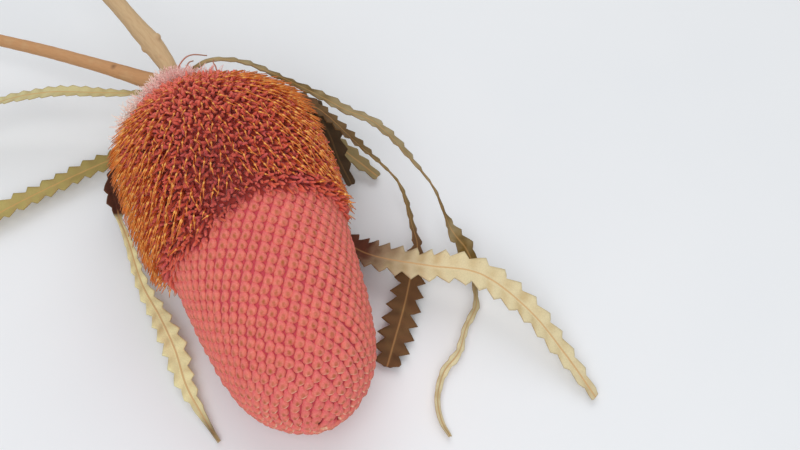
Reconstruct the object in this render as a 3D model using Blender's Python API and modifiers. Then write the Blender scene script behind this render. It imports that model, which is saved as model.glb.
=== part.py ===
"""A cut and dried banksia flower spike with its leaves, lying on its side.

Sizes are in metres. The spike's tip points to -Y, slightly down, and its stem to +Y. The origin is the
middle of the flat where the closed buds are pressed against the surface that the spike lies on.
"""

import math

import bmesh
import bpy
import numpy as np
from mathutils import Matrix, Vector

OBJECT = "banksia_spike"
GAP = 0.0003

# The spike: its stations run from the stem's end to the tip
SPIKE_TILT = math.radians(7)
REST_STATION = 0.088
REST_AXIS_HEIGHT = 0.0262
BASE_STATION = 0.001
ZONE_STATION = 0.064

# Station and radius of the closed buds' outer face
BUD_OUTLINE = [
    (0.050, 0.0302), (0.060, 0.0296), (0.070, 0.0288), (0.082, 0.0276), (0.094, 0.0262),
    (0.105, 0.0244), (0.114, 0.0216), (0.121, 0.0173), (0.126, 0.0118), (0.129, 0.0060),
    (0.130, 0.0005),
]
BUD_AREA = 18e-6
BUD_DEPTH = 0.0010
BUD_LEAN = 0.0009

# Station and radius of the open florets' curled tubes, without their styles
FLORET_OUTLINE = [
    (-0.001, 0.0020), (0.000, 0.0040), (0.003, 0.0090), (0.007, 0.0155), (0.013, 0.0225),
    (0.020, 0.0275), (0.030, 0.0305), (0.040, 0.0318), (0.050, 0.0318), (0.060, 0.0310),
    (0.070, 0.0298),
]
FLORET_AREA = 36e-6
FLORET_DEPTH = 0.0022

# Station and radius that the styles' ends reach
STYLE_REACH = [
    (0.000, 0.0060), (0.003, 0.0115), (0.008, 0.0190), (0.015, 0.0272), (0.025, 0.0335),
    (0.035, 0.0362), (0.045, 0.0370), (0.053, 0.0368), (0.062, 0.0360), (0.070, 0.0345),
    (0.076, 0.0332),
]
STYLE_RADIUS = 0.0006
STYLE_ROOT_DEPTH = 0.0035
STYLE_SWEEP = (0.002, 0.0075)
STYLE_KNEE = 0.55
STYLE_FLOOR = 0.0007
STYLE_ZONE = (0.004, 0.0625)

GOLDEN_ANGLE = math.pi * (3 - math.sqrt(5))

# The woody stem and the thinner branch that leaves it, each row x, y, z, radius
STEM_ROUTE = [
    (0.0000, 0.0867, 0.0368, 0.0044), (0.0000, 0.0905, 0.0373, 0.0042), (-0.0025, 0.0950, 0.0380, 0.0046),
    (-0.0070, 0.1000, 0.0388, 0.0047), (-0.0110, 0.1070, 0.0400, 0.0040), (-0.0148, 0.1200, 0.0418, 0.0040),
    (-0.0180, 0.1310, 0.0430, 0.0042), (-0.0215, 0.1440, 0.0440, 0.0041), (-0.0265, 0.1640, 0.0450, 0.0040),
]
BRANCH_ROUTE = [
    (-0.0045, 0.0965, 0.0368, 0.0026), (-0.0110, 0.0985, 0.0340, 0.0027), (-0.0170, 0.1020, 0.0325, 0.0026),
    (-0.0260, 0.1095, 0.0318, 0.0024), (-0.0440, 0.1265, 0.0300, 0.0024), (-0.0660, 0.1440, 0.0280, 0.0023),
    (-0.0820, 0.1560, 0.0262, 0.0023),
]

LEAF_THICKNESS = 0.0008
LEAF_NOTCH = 0.62
LEAF_TOOTH_POINT = 0.7
LEAF_KEEL = 0.12

# Each leaf's tooth pitch, then its midrib from the stem outwards: x, y, z, half width, roll in degrees
LEAVES = {
    "leaf_upper_left": (0.0058, [
        (-0.0054, 0.0915, 0.0350, 0.0010, 0), (-0.0110, 0.0930, 0.0318, 0.0012, -15),
        (-0.0190, 0.0946, 0.0300, 0.0022, -25), (-0.0330, 0.1004, 0.0300, 0.0032, -25),
        (-0.0500, 0.1090, 0.0280, 0.0035, -20), (-0.0660, 0.1150, 0.0230, 0.0035, -20),
        (-0.0780, 0.1170, 0.0160, 0.0030, -25), (-0.0890, 0.1180, 0.0080, 0.0022, -20),
        (-0.0970, 0.1180, 0.0030, 0.0006, -10),
    ]),
    "leaf_lower_left": (0.0052, [
        (-0.0043, 0.0895, 0.0338, 0.0010, 0), (-0.0105, 0.0875, 0.0255, 0.0012, 0),
        (-0.0200, 0.0860, 0.0150, 0.0020, 0), (-0.0310, 0.0886, 0.0080, 0.0036, 0),
        (-0.0440, 0.0886, 0.0055, 0.0042, 0), (-0.0605, 0.0862, 0.0050, 0.0044, 0),
        (-0.0775, 0.0824, 0.0050, 0.0042, 0), (-0.0925, 0.0792, 0.0035, 0.0028, 0),
        (-0.1030, 0.0770, 0.0015, 0.0006, 0),
    ]),
    "leaf_front_left": (0.0058, [
        (-0.0026, 0.0880, 0.0320, 0.0010, 0), (-0.0110, 0.0810, 0.0175, 0.0012, 0),
        (-0.0220, 0.0765, 0.0110, 0.0020, 0), (-0.0350, 0.0755, 0.0135, 0.0030, 30),
        (-0.0405, 0.0690, 0.0135, 0.0034, 50), (-0.0402, 0.0570, 0.0105, 0.0024, 50),
        (-0.0382, 0.0440, 0.0080, 0.0030, 20), (-0.0358, 0.0300, 0.0065, 0.0042, 0),
        (-0.0352, 0.0150, 0.0055, 0.0047, 0), (-0.0348, 0.0000, 0.0045, 0.0043, 0),
        (-0.0333, -0.0130, 0.0030, 0.0023, 0), (-0.0315, -0.0255, 0.0014, 0.0006, 0),
    ]),
    "leaf_far_right": (0.0060, [
        (0.0049, 0.0910, 0.0391, 0.0010, 0), (0.0090, 0.0890, 0.0425, 0.0014, 20),
        (0.0165, 0.0840, 0.0426, 0.0028, 30), (0.0275, 0.0745, 0.0400, 0.0034, 35),
        (0.0385, 0.0675, 0.0340, 0.0040, 30), (0.0525, 0.0555, 0.0285, 0.0042, 32),
        (0.0590, 0.0372, 0.0265, 0.0040, 45), (0.0620, 0.0275, 0.0226, 0.0036, 66),
        (0.0642, 0.0170, 0.0170, 0.0040, 45), (0.0650, 0.0080, 0.0105, 0.0040, 20),
        (0.0662, -0.0010, 0.0052, 0.0034, 50), (0.0635, -0.0100, 0.0042, 0.0028, 62),
        (0.0545, -0.0200, 0.0040, 0.0028, 55), (0.0432, -0.0310, 0.0035, 0.0028, 45),
        (0.0367, -0.0390, 0.0030, 0.0022, 60), (0.0362, -0.0510, 0.0015, 0.0006, 30),
    ]),
    "leaf_near_right": (0.0066, [
        (-0.0004, 0.0877, 0.0316, 0.0010, 0), (0.0030, 0.0880, 0.0226, 0.0010, 0),
        (0.0105, 0.0808, 0.0120, 0.0012, 0), (0.0205, 0.0670, 0.0050, 0.0018, 0),
        (0.0275, 0.0510, 0.0026, 0.0020, 0), (0.0276, 0.0370, 0.0022, 0.0026, 0),
        (0.0320, 0.0240, 0.0042, 0.0052, 0), (0.0390, 0.0127, 0.0095, 0.0062, 0),
        (0.0510, 0.0012, 0.0150, 0.0064, 0), (0.0652, -0.0086, 0.0160, 0.0058, 0),
        (0.0752, -0.0246, 0.0120, 0.0048, 0), (0.0812, -0.0416, 0.0060, 0.0036, 0),
        (0.0847, -0.0565, 0.0018, 0.0016, 0),
    ]),
    "leaf_dark_right": (0.0066, [
        (0.0052, 0.0895, 0.0358, 0.0010, 0), (0.0130, 0.0845, 0.0325, 0.0012, 20),
        (0.0250, 0.0785, 0.0295, 0.0018, 40), (0.0382, 0.0702, 0.0265, 0.0030, 45),
        (0.0447, 0.0570, 0.0200, 0.0034, 52), (0.0515, 0.0430, 0.0148, 0.0032, 60),
        (0.0542, 0.0290, 0.0102, 0.0032, 64), (0.0527, 0.0180, 0.0070, 0.0038, 58),
        (0.0480, 0.0085, 0.0052, 0.0058, 20), (0.0405, -0.0030, 0.0026, 0.0068, 0),
        (0.0327, -0.0136, 0.0020, 0.0070, 0), (0.0280, -0.0200, 0.0018, 0.0056, 0),
        (0.0268, -0.0216, 0.0018, 0.0016, 0),
    ]),
    "leaf_short_dark": (0.0060, [
        (0.0037, 0.0885, 0.0334, 0.0010, 0), (0.0130, 0.0830, 0.0255, 0.0012, 0),
        (0.0250, 0.0775, 0.0215, 0.0018, 0), (0.0360, 0.0735, 0.0200, 0.0030, 10),
        (0.0403, 0.0640, 0.0165, 0.0042, 15), (0.0410, 0.0545, 0.0120, 0.0040, 15),
        (0.0418, 0.0455, 0.0070, 0.0020, 15),
    ]),
    "leaf_short_pale": (0.0056, [
        (0.0018, 0.0878, 0.0321, 0.0010, 0), (0.0130, 0.0810, 0.0205, 0.0012, 0),
        (0.0260, 0.0735, 0.0110, 0.0020, 0), (0.0395, 0.0665, 0.0072, 0.0032, 0),
        (0.0450, 0.0590, 0.0050, 0.0036, 0), (0.0512, 0.0490, 0.0022, 0.0018, 0),
    ]),
}

# Each material: colour, roughness
FINISHES = {
    "closed_buds": ((0.72, 0.17, 0.18), 0.8),
    "open_florets": ((0.48, 0.12, 0.05), 0.75),
    "stem": ((0.40, 0.25, 0.13), 0.85),
    "leaf_upper_left": ((0.38, 0.34, 0.17), 0.7),
    "leaf_lower_left": ((0.34, 0.29, 0.12), 0.7),
    "leaf_front_left": ((0.56, 0.48, 0.27), 0.7),
    "leaf_far_right": ((0.36, 0.29, 0.13), 0.7),
    "leaf_near_right": ((0.63, 0.52, 0.31), 0.7),
    "leaf_dark_right": ((0.17, 0.11, 0.05), 0.7),
    "leaf_short_dark": ((0.20, 0.14, 0.08), 0.7),
    "leaf_short_pale": ((0.36, 0.32, 0.19), 0.7),
}


def smooth_path(rows, steps):
    """Rows along the smooth curve through the given ones, the given ones among them."""
    p = np.array(rows, float)
    p = np.vstack([2 * p[0] - p[1], p, 2 * p[-1] - p[-2]])
    t = np.linspace(0, 1, steps, endpoint=False)[:, None]
    stretches = [
        b + 0.5 * t * (c - a + t * (2 * a - 5 * b + 4 * c - d + t * (3 * b - a - 3 * c + d)))
        for a, b, c, d in zip(p, p[1:], p[2:], p[3:])
    ]
    return np.vstack([*stretches, p[-2]])


def lengths_along(points):
    """The length from the first point to each point."""
    return np.concatenate([[0], np.cumsum(np.linalg.norm(np.diff(points, axis=0), axis=1))])


def add_object(name, mesh, parent=None):
    """An object in the part's collection with a material of its own."""
    colour, roughness = FINISHES[name]
    material = bpy.data.materials.new(name)
    material.use_nodes = True
    shader = material.node_tree.nodes["Principled BSDF"]
    shader.inputs["Base Color"].default_value = (*colour, 1)
    shader.inputs["Roughness"].default_value = roughness
    mesh.materials.clear()
    mesh.materials.append(material)
    obj = bpy.data.objects.new(name, mesh)
    obj.parent = parent
    bpy.data.collections[OBJECT].objects.link(obj)
    return obj


def mesh_from(bm, name):
    """A mesh of the bmesh's faces, which is then freed."""
    mesh = bpy.data.meshes.new(name)
    bm.to_mesh(mesh)
    bm.free()
    return mesh


def spike_placement():
    """From the spike's own frame, with its stations on Z, to the part's."""
    along = Vector((0, -math.cos(SPIKE_TILT), -math.sin(SPIKE_TILT)))
    above = Vector((0, -math.sin(SPIKE_TILT), math.cos(SPIKE_TILT)))
    turn = Matrix((Vector((1, 0, 0)), above, along)).transposed().to_4x4()
    return Matrix.Translation(Vector((0, 0, REST_AXIS_HEIGHT)) - along * REST_STATION) @ turn


class Outline:
    """A turned outline, and where the florets stand on it.

    Florets follow each other by the golden angle, each with the same area, which gives the spike its
    crossing spiral rows.
    """

    def __init__(self, rows, floret_area):
        self.stations, self.radii = smooth_path(rows, 12).T
        self.slopes = np.gradient(self.radii, self.stations)
        step = np.hypot(np.diff(self.stations), np.diff(self.radii))
        middle = (self.radii[1:] + self.radii[:-1]) / 2
        self.areas = np.concatenate([[0], np.cumsum(2 * math.pi * middle * step)])
        # Length along the outline in radii there, which maps the surface to a sphere without shear
        self.stretch = np.concatenate([[0], np.cumsum(step / middle)])
        self.floret_area = floret_area

    def florets(self):
        """Station and angle of each floret."""
        for index in range(int(self.areas[-1] / self.floret_area)):
            area = (index + 0.5) * self.floret_area
            yield float(np.interp(area, self.areas, self.stations)), -index * GOLDEN_ANGLE

    def point(self, station, angle, depth=0.0):
        """A point of the surface, or under it by a depth, in the spike's frame."""
        radius = np.interp(station, self.stations, self.radii)
        slope = np.interp(station, self.stations, self.slopes)
        steep = math.hypot(1, slope)
        radius -= depth / steep
        return Vector(
            (radius * math.cos(angle), radius * math.sin(angle), station + depth * slope / steep)
        )

    def on_sphere(self, station, angle, middle):
        height = math.tanh(np.interp(station, self.stations, self.stretch) - middle)
        ring = math.sqrt(1 - height * height)
        return Vector((ring * math.cos(angle), ring * math.sin(angle), height))

    def from_sphere(self, point, middle):
        point = point.normalized()
        station = np.interp(math.atanh(point.z) + middle, self.stretch, self.stations)
        return float(station), math.atan2(point.y, point.x)


def pressed(point, placement, lowest):
    """The point, moved up to the surface that the spike lies on where it would be below it."""
    world = placement @ point
    if world.z >= lowest:
        return point
    world.z = lowest
    return placement.inverted() @ world


def bumpy_surface(outline, depth, lean, placement):
    """A closed surface with one six-sided bump on each floret's place."""
    bm = bmesh.new()
    florets = list(outline.florets())
    middle_station = florets[len(florets) // 2][0]
    middle = float(np.interp(middle_station, outline.stations, outline.stretch))
    for station, angle in florets:
        bm.verts.new(outline.on_sphere(station, angle, middle))
    bmesh.ops.convex_hull(bm, input=bm.verts)
    between_bumps = bm.edges[:]
    valleys = set(bmesh.ops.poke(bm, faces=bm.faces[:])["verts"])
    # Turned round, each edge that joined two bumps runs between two valleys
    bmesh.ops.rotate_edges(bm, edges=between_bumps)
    for vert in bm.verts:
        station, angle = outline.from_sphere(vert.co, middle)
        if vert not in valleys:
            station = min(station + lean, outline.stations[-1])
        outer = outline.point(station, angle)
        if (placement @ outer).z < 0:
            vert.co = pressed(outer, placement, 0)
        else:
            vert.co = outline.point(station, angle, depth if vert in valleys else 0)
    bmesh.ops.recalc_face_normals(bm, faces=bm.faces)
    return bm


def cut_flat(bm, station, keep):
    """Cuts the surface square to the spike's axis and closes it, keeping the side towards keep."""
    geometry = bm.verts[:] + bm.edges[:] + bm.faces[:]
    cut = bmesh.ops.bisect_plane(
        bm, geom=geometry, dist=1e-7, plane_co=(0, 0, station), plane_no=(0, 0, keep), clear_inner=True
    )
    rim = [item for item in cut["geom_cut"] if isinstance(item, bmesh.types.BMEdge)]
    bmesh.ops.contextual_create(bm, geom=rim)
    bmesh.ops.recalc_face_normals(bm, faces=bm.faces)


def add_closed_buds(spike):
    """The half towards the tip, still closed and covered by buds in spiral rows."""
    outline = Outline(BUD_OUTLINE, BUD_AREA)
    bm = bumpy_surface(outline, BUD_DEPTH, BUD_LEAN, spike.matrix_world)
    cut_flat(bm, ZONE_STATION + GAP, 1)
    add_object("closed_buds", mesh_from(bm, "closed_buds"), spike)


def style_mesh(root, knee, tip):
    """A three-sided spike with one bend."""
    bm = bmesh.new()
    bmesh.ops.create_cone(bm, cap_ends=True, segments=3, radius1=STYLE_RADIUS, radius2=0, depth=2)
    geometry = bm.verts[:] + bm.edges[:] + bm.faces[:]
    bmesh.ops.bisect_plane(bm, geom=geometry, plane_co=(0, 0, 0), plane_no=(0, 0, 1))
    turn = (tip - root).to_track_quat("Z", "Y")
    centres = {-1: root, 0: knee, 1: tip}
    for vert in bm.verts:
        level = round(vert.co.z)
        spread = 1.6 if level == 0 else 1
        vert.co = centres[level] + turn @ Vector((vert.co.x * spread, vert.co.y * spread, 0))
    bmesh.ops.recalc_face_normals(bm, faces=bm.faces)
    return mesh_from(bm, "style")


def style_points(outline, reach, station, angle, placement):
    """Root, knee and tip of the style that leaves a floret."""
    span = (station - STYLE_ZONE[0]) / (STYLE_ZONE[1] - STYLE_ZONE[0])
    sweep = STYLE_SWEEP[0] + (STYLE_SWEEP[1] - STYLE_SWEEP[0]) * span
    root = outline.point(station, angle, STYLE_ROOT_DEPTH)
    tip = reach.point(station + sweep, angle)
    if (placement @ tip).z < STYLE_FLOOR:
        tip = pressed(reach.point(min(station + sweep, ZONE_STATION - 0.001), angle), placement, STYLE_FLOOR)
    outward = Vector((math.cos(angle), math.sin(angle), 0))
    knee = root.lerp(tip, STYLE_KNEE) + outward * sweep * 0.12
    return root, pressed(knee, placement, STYLE_FLOOR), tip


def add_open_florets(spike):
    """The half towards the stem: open florets, each with its wiry style."""
    outline = Outline(FLORET_OUTLINE, FLORET_AREA)
    reach = Outline(STYLE_REACH, FLORET_AREA)
    placement = spike.matrix_world
    bm = bumpy_surface(outline, FLORET_DEPTH, 0, placement)
    cut_flat(bm, BASE_STATION, 1)
    cut_flat(bm, ZONE_STATION, -1)
    body = add_object("open_florets", mesh_from(bm, "open_florets"), spike)

    styles = bpy.data.collections.new("styles")
    for station, angle in outline.florets():
        if STYLE_ZONE[0] < station < STYLE_ZONE[1]:
            points = style_points(outline, reach, station, angle, placement)
            style = bpy.data.objects.new("style", style_mesh(*points))
            style.parent = spike
            styles.objects.link(style)
    join(body, styles)


def join(body, collection):
    """One union of the body with every object of the collection, which are then removed."""
    bpy.context.scene.collection.children.link(collection)
    union = body.modifiers.new("union", "BOOLEAN")
    union.operation = "UNION"
    union.operand_type = "COLLECTION"
    union.collection = collection
    bpy.context.view_layer.update()
    graph = bpy.context.evaluated_depsgraph_get()
    joined = bpy.data.meshes.new_from_object(body.evaluated_get(graph))
    body.modifiers.clear()
    body.data = joined
    for obj in list(collection.objects):
        bpy.data.objects.remove(obj)
    bpy.data.collections.remove(collection)


def rod_mesh(name, route):
    """A closed rod along a route, made from a bevelled curve."""
    curve = bpy.data.curves.new(name, "CURVE")
    curve.dimensions = "3D"
    curve.bevel_depth = 1
    curve.bevel_resolution = 1
    curve.use_fill_caps = True
    points = smooth_path(route, 2)
    spline = curve.splines.new("POLY")
    spline.points.add(len(points) - 1)
    for point, (x, y, z, radius) in zip(spline.points, points):
        point.co = (x, y, z, 1)
        point.radius = radius
    obj = bpy.data.objects.new(name, curve)
    bpy.context.scene.collection.objects.link(obj)
    bpy.context.view_layer.update()
    graph = bpy.context.evaluated_depsgraph_get()
    mesh = bpy.data.meshes.new_from_object(obj.evaluated_get(graph))
    bpy.data.objects.remove(obj)
    bm = bmesh.new()
    bm.from_mesh(mesh)
    bmesh.ops.remove_doubles(bm, verts=bm.verts, dist=1e-6)
    bmesh.ops.recalc_face_normals(bm, faces=bm.faces)
    return mesh_from(bm, name)


def add_stem():
    """The woody stem, and the branch that grew from it."""
    stem = add_object("stem", rod_mesh("stem", STEM_ROUTE))
    branches = bpy.data.collections.new("branches")
    branches.objects.link(bpy.data.objects.new("branch", rod_mesh("branch", BRANCH_ROUTE)))
    join(stem, branches)


def add_leaf(name, pitch, rows):
    """A saw-toothed blade, two flat halves meeting at its midrib, from a grid laid along its route."""
    fine = smooth_path(rows, 12)
    along = lengths_along(fine[:, :3])
    teeth = round(along[-1] / pitch)
    pitch = along[-1] / teeth
    places = np.sort(
        np.concatenate([np.arange(teeth + 1) * pitch, (np.arange(teeth) + LEAF_TOOTH_POINT) * pitch])
    )
    rows_at = np.stack([np.interp(places, along, column) for column in fine.T], axis=-1)
    tangents = np.gradient(rows_at[:, :3], axis=0)
    bm = bmesh.new()
    bmesh.ops.create_grid(bm, x_segments=2, y_segments=2 * teeth, size=1)
    for vert in bm.verts:
        across = vert.co.x
        row = round((vert.co.y + 1) * teeth)
        middle = Vector(rows_at[row, :3])
        half_width, roll = rows_at[row, 3:]
        tangent = Vector(tangents[row]).normalized()
        side = tangent.cross(Vector((0, 0, 1))).normalized()
        side.rotate(Matrix.Rotation(math.radians(-roll), 3, tangent))
        face = side.cross(tangent)
        reach = half_width if row % 2 else half_width * LEAF_NOTCH
        vert.co = middle - side * across * reach + face * abs(across) * half_width * LEAF_KEEL
    bmesh.ops.triangulate(bm, faces=bm.faces)
    leaf = add_object(name, mesh_from(bm, name))
    thickness = leaf.modifiers.new("thickness", "SOLIDIFY")
    thickness.thickness = LEAF_THICKNESS
    thickness.offset = 0


for old in list(bpy.data.objects):
    bpy.data.objects.remove(old)
bpy.context.scene.collection.children.link(bpy.data.collections.new(OBJECT))

spike = bpy.data.objects.new("spike", None)
spike.matrix_world = spike_placement()
bpy.data.collections[OBJECT].objects.link(spike)
bpy.context.view_layer.update()

add_closed_buds(spike)
add_open_florets(spike)
add_stem()
for leaf_name, (tooth_pitch, midrib) in LEAVES.items():
    add_leaf(leaf_name, tooth_pitch, midrib)
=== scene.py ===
import math

import bmesh
import bpy
import numpy as np
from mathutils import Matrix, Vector


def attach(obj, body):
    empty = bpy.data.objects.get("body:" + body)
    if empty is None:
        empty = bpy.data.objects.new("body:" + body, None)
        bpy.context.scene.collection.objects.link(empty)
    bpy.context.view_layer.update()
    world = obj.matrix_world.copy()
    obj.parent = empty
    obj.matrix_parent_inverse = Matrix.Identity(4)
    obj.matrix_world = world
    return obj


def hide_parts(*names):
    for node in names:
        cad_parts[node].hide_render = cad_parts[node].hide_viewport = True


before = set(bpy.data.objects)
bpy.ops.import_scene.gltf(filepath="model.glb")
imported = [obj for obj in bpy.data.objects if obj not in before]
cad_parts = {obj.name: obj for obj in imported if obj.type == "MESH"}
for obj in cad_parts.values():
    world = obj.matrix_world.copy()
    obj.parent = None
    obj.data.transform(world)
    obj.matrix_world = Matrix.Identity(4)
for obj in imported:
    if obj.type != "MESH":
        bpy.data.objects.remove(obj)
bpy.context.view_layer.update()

# The camera looks down on the spike from the front left. One wide soft panel in front of it and a
# weaker one behind light it, and a pale room all round fills the shadows.
AIM = Vector((0.0515, 0.0283, 0.0))
AZIMUTH, ELEVATION, DISTANCE = math.radians(-22), math.radians(58), 0.392
LENS = 50
# Place, width, power and tint
PANELS = {
    "front_panel": ((-0.24, -0.47, 0.74), 0.70, 4.5, (0.98, 0.99, 1.0)),
    "back_panel": ((0.26, 0.46, 0.78), 0.90, 3.3, (1.0, 0.98, 0.95)),
}
ROOM_TINT, ROOM_LIGHT = (0.95, 0.97, 0.985, 1), 0.40

bpy.ops.object.select_all(action="DESELECT")
back = Vector((0, 0, 1))
back.x = math.sin(AZIMUTH) * math.cos(ELEVATION)
back.y = -math.cos(AZIMUTH) * math.cos(ELEVATION)
back.z = math.sin(ELEVATION)
bpy.ops.object.camera_add(location=AIM + back * DISTANCE, rotation=back.to_track_quat("Z", "Y").to_euler())
camera = bpy.context.object
camera.data.lens = LENS
bpy.context.scene.camera = camera
bpy.context.scene.view_settings.view_transform = "Standard"

for panel_name, (place, size, power, tint) in PANELS.items():
    away = Vector(place) - AIM
    bpy.ops.object.light_add(type="AREA", location=place, rotation=away.to_track_quat("Z", "Y").to_euler())
    panel = bpy.context.object
    panel.name = panel_name
    panel.data.size = size
    panel.data.energy = power
    panel.data.color = tint

world = bpy.data.worlds.new("room")
world.use_nodes = True
world.node_tree.nodes["Background"].inputs["Color"].default_value = ROOM_TINT
world.node_tree.nodes["Background"].inputs["Strength"].default_value = ROOM_LIGHT
bpy.context.scene.world = world

# The spike lies on a wide sheet of pale matt board, which is a little mottled. The sheet is part of the
# setting and not of the object.
BOARD_SIZE = 6
BOARD_DROP = 0.0001


def rgb(red, green, blue):
    """A colour from its values on the screen."""
    return (*(((value / 255 + 0.055) / 1.055) ** 2.4 for value in (red, green, blue)), 1)


class Mask:
    """A number that varies over a surface. Expressions on it add the nodes that work them out."""

    def __init__(self, finish, socket):
        self.finish = finish
        self.socket = socket

    def worked(self, operation, first, second=0.0, clamp=False):
        settings = {"operation": operation, "use_clamp": clamp}
        return self.finish.node("Math", settings, {0: first, 1: second})

    def __add__(self, other):
        return self.worked("ADD", self, other)

    def __sub__(self, other):
        return self.worked("SUBTRACT", self, other)

    def __rsub__(self, other):
        return self.worked("SUBTRACT", other, self)

    def __mul__(self, other):
        return self.worked("MULTIPLY", self, other)

    def __truediv__(self, other):
        return self.worked("DIVIDE", self, other)

    def __pow__(self, other):
        return self.worked("POWER", self, other)

    __radd__ = __add__
    __rmul__ = __mul__

    def between(self, low, high):
        """0 up to low, 1 from high on, and an even rise between them."""
        return self.worked("ADD", (self - low) / (high - low), 0.0, clamp=True)

    def size(self):
        return self.worked("ABSOLUTE", self)


class Finish:
    """A material with one Principled shader, and the method that adds every other node to it."""

    def __init__(self, name, roughness=0.8, **settings):
        self.material = bpy.data.materials.new(name)
        self.material.use_nodes = True
        self.tree = self.material.node_tree
        self.shader = self.tree.nodes["Principled BSDF"]
        self.shader.inputs["Roughness"].default_value = roughness
        for socket, value in settings.items():
            self.shader.inputs[socket.replace("_", " ")].default_value = value

    def node(self, kind, settings=(), values=(), output=0):
        node = self.tree.nodes.new("ShaderNode" + kind)
        for setting, value in dict(settings).items():
            if setting == "stops":
                while len(node.color_ramp.elements) < len(value):
                    node.color_ramp.elements.new(0.5)
                for element, (place, colour) in zip(node.color_ramp.elements, value):
                    element.position = place
                    element.color = colour
            else:
                setattr(node, setting, value)
        for socket, value in dict(values).items():
            self.join(value, node.inputs[socket])
        return Mask(self, node.outputs[output])

    def join(self, value, socket):
        if isinstance(value, Mask):
            self.tree.links.new(value.socket, socket)
        else:
            socket.default_value = value

    def mark(self, name):
        return self.node("Attribute", {"attribute_name": name}, output="Fac")

    def place(self):
        return self.node("TexCoord", output="Object")

    def noise(self, scale, detail=3.0, place=None):
        place = place or self.place()
        return self.node("TexNoise", {}, {"Vector": place, "Scale": scale, "Detail": detail})

    def mix(self, share, first, second, blend="MIX"):
        settings = {"data_type": "RGBA", "blend_type": blend}
        return self.node("Mix", settings, {0: share, 6: first, 7: second}, output=2)

    def ramp(self, value, stops):
        return self.node("ValToRGB", {"stops": stops}, {"Fac": value})

    def paint(self, piece, colour, relief=None, depth=0.0002, strength=0.5):
        """Gives the piece this finish: its colour, and its relief as a bump of a real depth."""
        self.join(colour, self.shader.inputs["Base Color"])
        if relief is not None:
            values = {"Strength": strength, "Distance": depth, "Height": relief}
            self.join(self.node("Bump", {}, values), self.shader.inputs["Normal"])
        piece.data.materials.clear()
        piece.data.materials.append(self.material)


bpy.ops.mesh.primitive_plane_add(size=BOARD_SIZE, location=(0, 0, -BOARD_DROP))
surface = bpy.context.object
surface.name = "pale_surface"
paper = Finish("pale_surface", roughness=0.75)
paper_tone = paper.noise(6, 4).between(0.3, 0.7)
paper.paint(surface, paper.mix(paper_tone, rgb(233, 236, 240), rgb(238, 240, 243)))

# The half of the spike towards the tip is still shut: about a thousand velvety buds in crossing spiral
# rows, each one overlapping the next like a scale, pointed to the stem and blunt to the tip.
SPIKE_LENGTH = 0.130
SPIKE_TILT = math.radians(7)
ACROSS = np.array((1.0, 0.0, 0.0))
ALONG = np.array((0.0, -math.cos(SPIKE_TILT), -math.sin(SPIKE_TILT)))
ABOVE = np.array((0.0, -math.sin(SPIKE_TILT), math.cos(SPIKE_TILT)))
# The spike's axis passes this high over the origin, at this distance from the stem's end
AXIS_HEIGHT, AXIS_STATION = 0.0262, 0.088
SPIKE_FOOT = np.array((0.0, 0.0, AXIS_HEIGHT)) - AXIS_STATION * ALONG
# From each floret to the next, part of a turn: 45 rows climb one way round the spike and 28 the other
TURN = 1 / (5 + (math.sqrt(5) - 1) / 2)
# How far the spike's foot is bent to the side, and the station where the bend ends
FOOT_CROOK, CROOK_END = 0.0075, 0.045
# Station from the stem's end and radius, to the tops of the buds
BUD_OUTLINE = [
    (0.050, 0.0302), (0.060, 0.0296), (0.070, 0.0288), (0.082, 0.0276), (0.094, 0.0262),
    (0.105, 0.0244), (0.114, 0.0216), (0.121, 0.0173), (0.126, 0.0118), (0.129, 0.0060),
    (0.130, 0.0005),
]
# The uneven line where the open florets end: angle round the spike in degrees, and station
ZONE_EDGE = [
    (18, 0.0660), (42, 0.0640), (70, 0.0630), (86, 0.0618), (97, 0.0638), (114, 0.0658), (124, 0.0700),
    (135, 0.0684), (148, 0.0680), (166, 0.0686), (182, 0.0680), (235, 0.0615), (300, 0.0640),
]
BUD_AREA = 9.9e-6
BUD_DEPTH = 0.0009
BUD_SIDES = 10
BUD_LEAN = 0.42
RING_STEP = 0.0012
POLE_RADIUS = 0.0008
# A bud from its stemward point to its blunt end: place, half width, middle's height, half height, in mm
BUD_RINGS = [
    (-2.95, 0.00, -0.66, 0.00), (-2.20, 0.40, -0.30, 0.42), (-1.40, 0.78, 0.00, 0.72),
    (-0.50, 1.32, 0.10, 0.92), (0.40, 1.76, 0.16, 1.04), (1.15, 1.66, 0.10, 0.98),
    (1.72, 1.08, -0.12, 0.74), (2.02, 0.00, -0.45, 0.00),
]


def smooth_rows(rows, steps):
    """Rows along the smooth curve through the given ones, the given ones among them."""
    p = np.array(rows, float)
    p = np.vstack([2 * p[0] - p[1], p, 2 * p[-1] - p[-2]])
    t = np.linspace(0, 1, steps, endpoint=False)[:, None]
    stretches = [
        b + 0.5 * t * (c - a + t * (2 * a - 5 * b + 4 * c - d + t * (3 * b - a - 3 * c + d)))
        for a, b, c, d in zip(p, p[1:], p[2:], p[3:])
    ]
    return np.vstack([*stretches, p[-2]])


def zone_edge(angles):
    degrees, stations = zip(*ZONE_EDGE)
    return np.interp(np.degrees(angles), degrees, stations, period=360)


def crook(stations):
    """The foot of the spike bends over to the side that its stem comes from."""
    return np.outer(np.clip(1 - stations / CROOK_END, 0, 1) ** 2 * -FOOT_CROOK, ACROSS)


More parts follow.
